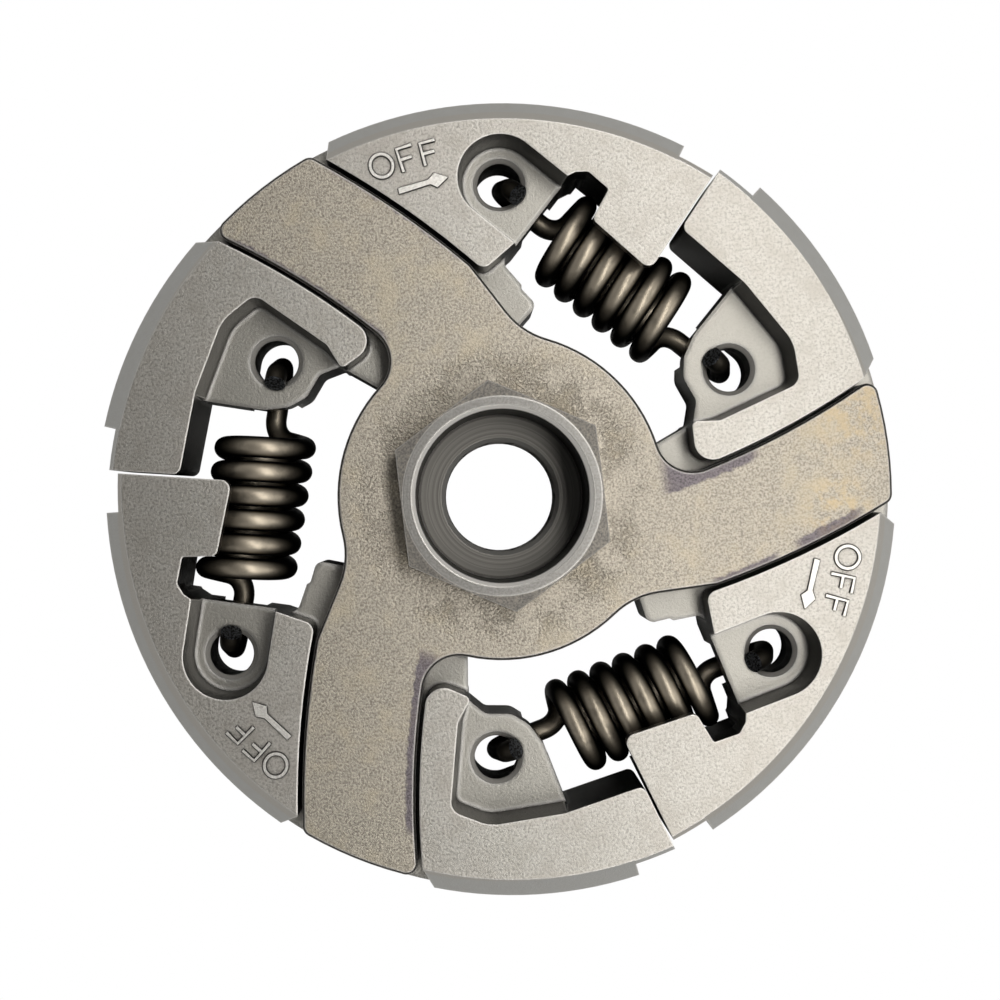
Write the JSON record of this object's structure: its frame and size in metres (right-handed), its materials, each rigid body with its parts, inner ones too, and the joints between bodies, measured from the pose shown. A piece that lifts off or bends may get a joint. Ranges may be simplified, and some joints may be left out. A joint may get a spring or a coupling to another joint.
{
  "type": "chainsaw clutch",
  "caption": "Centrifugal clutch of a chainsaw: a curved-arm spider with a hexagon and threaded bore carries friction shoes that tension springs hold in.",
  "frame": {"origin": "on the bore's axis, on the flat back", "axes": "+Z out of the back towards the hexagon, +X along the first arm's end, +Y completes the right-handed frame"},
  "size_m": [0.0765, 0.0768, 0.0204],
  "materials": {
    "cast_steel": "rough cast, brown-grey, machined bore and ring",
    "sintered_steel": "sintered, fine speckle, light warm grey",
    "spring_steel": "oiled black with brown highlights"
  },
  "bodies": {
    "spider": {"spider": "cast_steel"},
    "shoe_1": {"shoe_1": "sintered_steel"},
    "shoe_2": {"shoe_2": "sintered_steel"},
    "shoe_3": {"shoe_3": "sintered_steel"},
    "spring_1": {"spring_1": "spring_steel"},
    "spring_2": {"spring_2": "spring_steel"},
    "spring_3": {"spring_3": "spring_steel"}
  },
  "joints": [
    {"name": "shoe_1_slide", "type": "slide", "parent": "spider", "child": "shoe_1", "axis": [0.9426, 0.3338, 0], "range_m": [0, 0.001], "stiffness_N_per_m": 2000, "springref_m": -0.002},
    {"name": "shoe_2_slide", "type": "slide", "parent": "spider", "child": "shoe_2", "axis": [-0.7604, 0.6494, 0], "range_m": [0, 0.001], "stiffness_N_per_m": 2000, "springref_m": -0.002},
    {"name": "shoe_3_slide", "type": "slide", "parent": "spider", "child": "shoe_3", "axis": [-0.1822, -0.9833, 0], "range_m": [0, 0.001], "stiffness_N_per_m": 2000, "springref_m": -0.002},
    {"name": "spring_1_stretch", "type": "slide", "parent": "shoe_1", "child": "spring_1", "axis": [-0.6494, -0.7604, 0], "range_m": [0, 0.00173], "deforming": ["spring_1"]},
    {"name": "spring_2_stretch", "type": "slide", "parent": "shoe_2", "child": "spring_2", "axis": [0.9833, -0.1822, 0], "range_m": [0, 0.00173], "deforming": ["spring_2"]},
    {"name": "spring_3_stretch", "type": "slide", "parent": "shoe_3", "child": "spring_3", "axis": [-0.3338, 0.9426, 0], "range_m": [0, 0.00173], "deforming": ["spring_3"]}
  ],
  "couplings": [
    {"joint": "shoe_2_slide", "follows": "shoe_1_slide", "ratio": 1},
    {"joint": "shoe_3_slide", "follows": "shoe_1_slide", "ratio": 1},
    {"joint": "spring_1_stretch", "follows": "shoe_1_slide", "ratio": 1.7321},
    {"joint": "spring_2_stretch", "follows": "shoe_1_slide", "ratio": 1.7321},
    {"joint": "spring_3_stretch", "follows": "shoe_1_slide", "ratio": 1.7321}
  ]
}
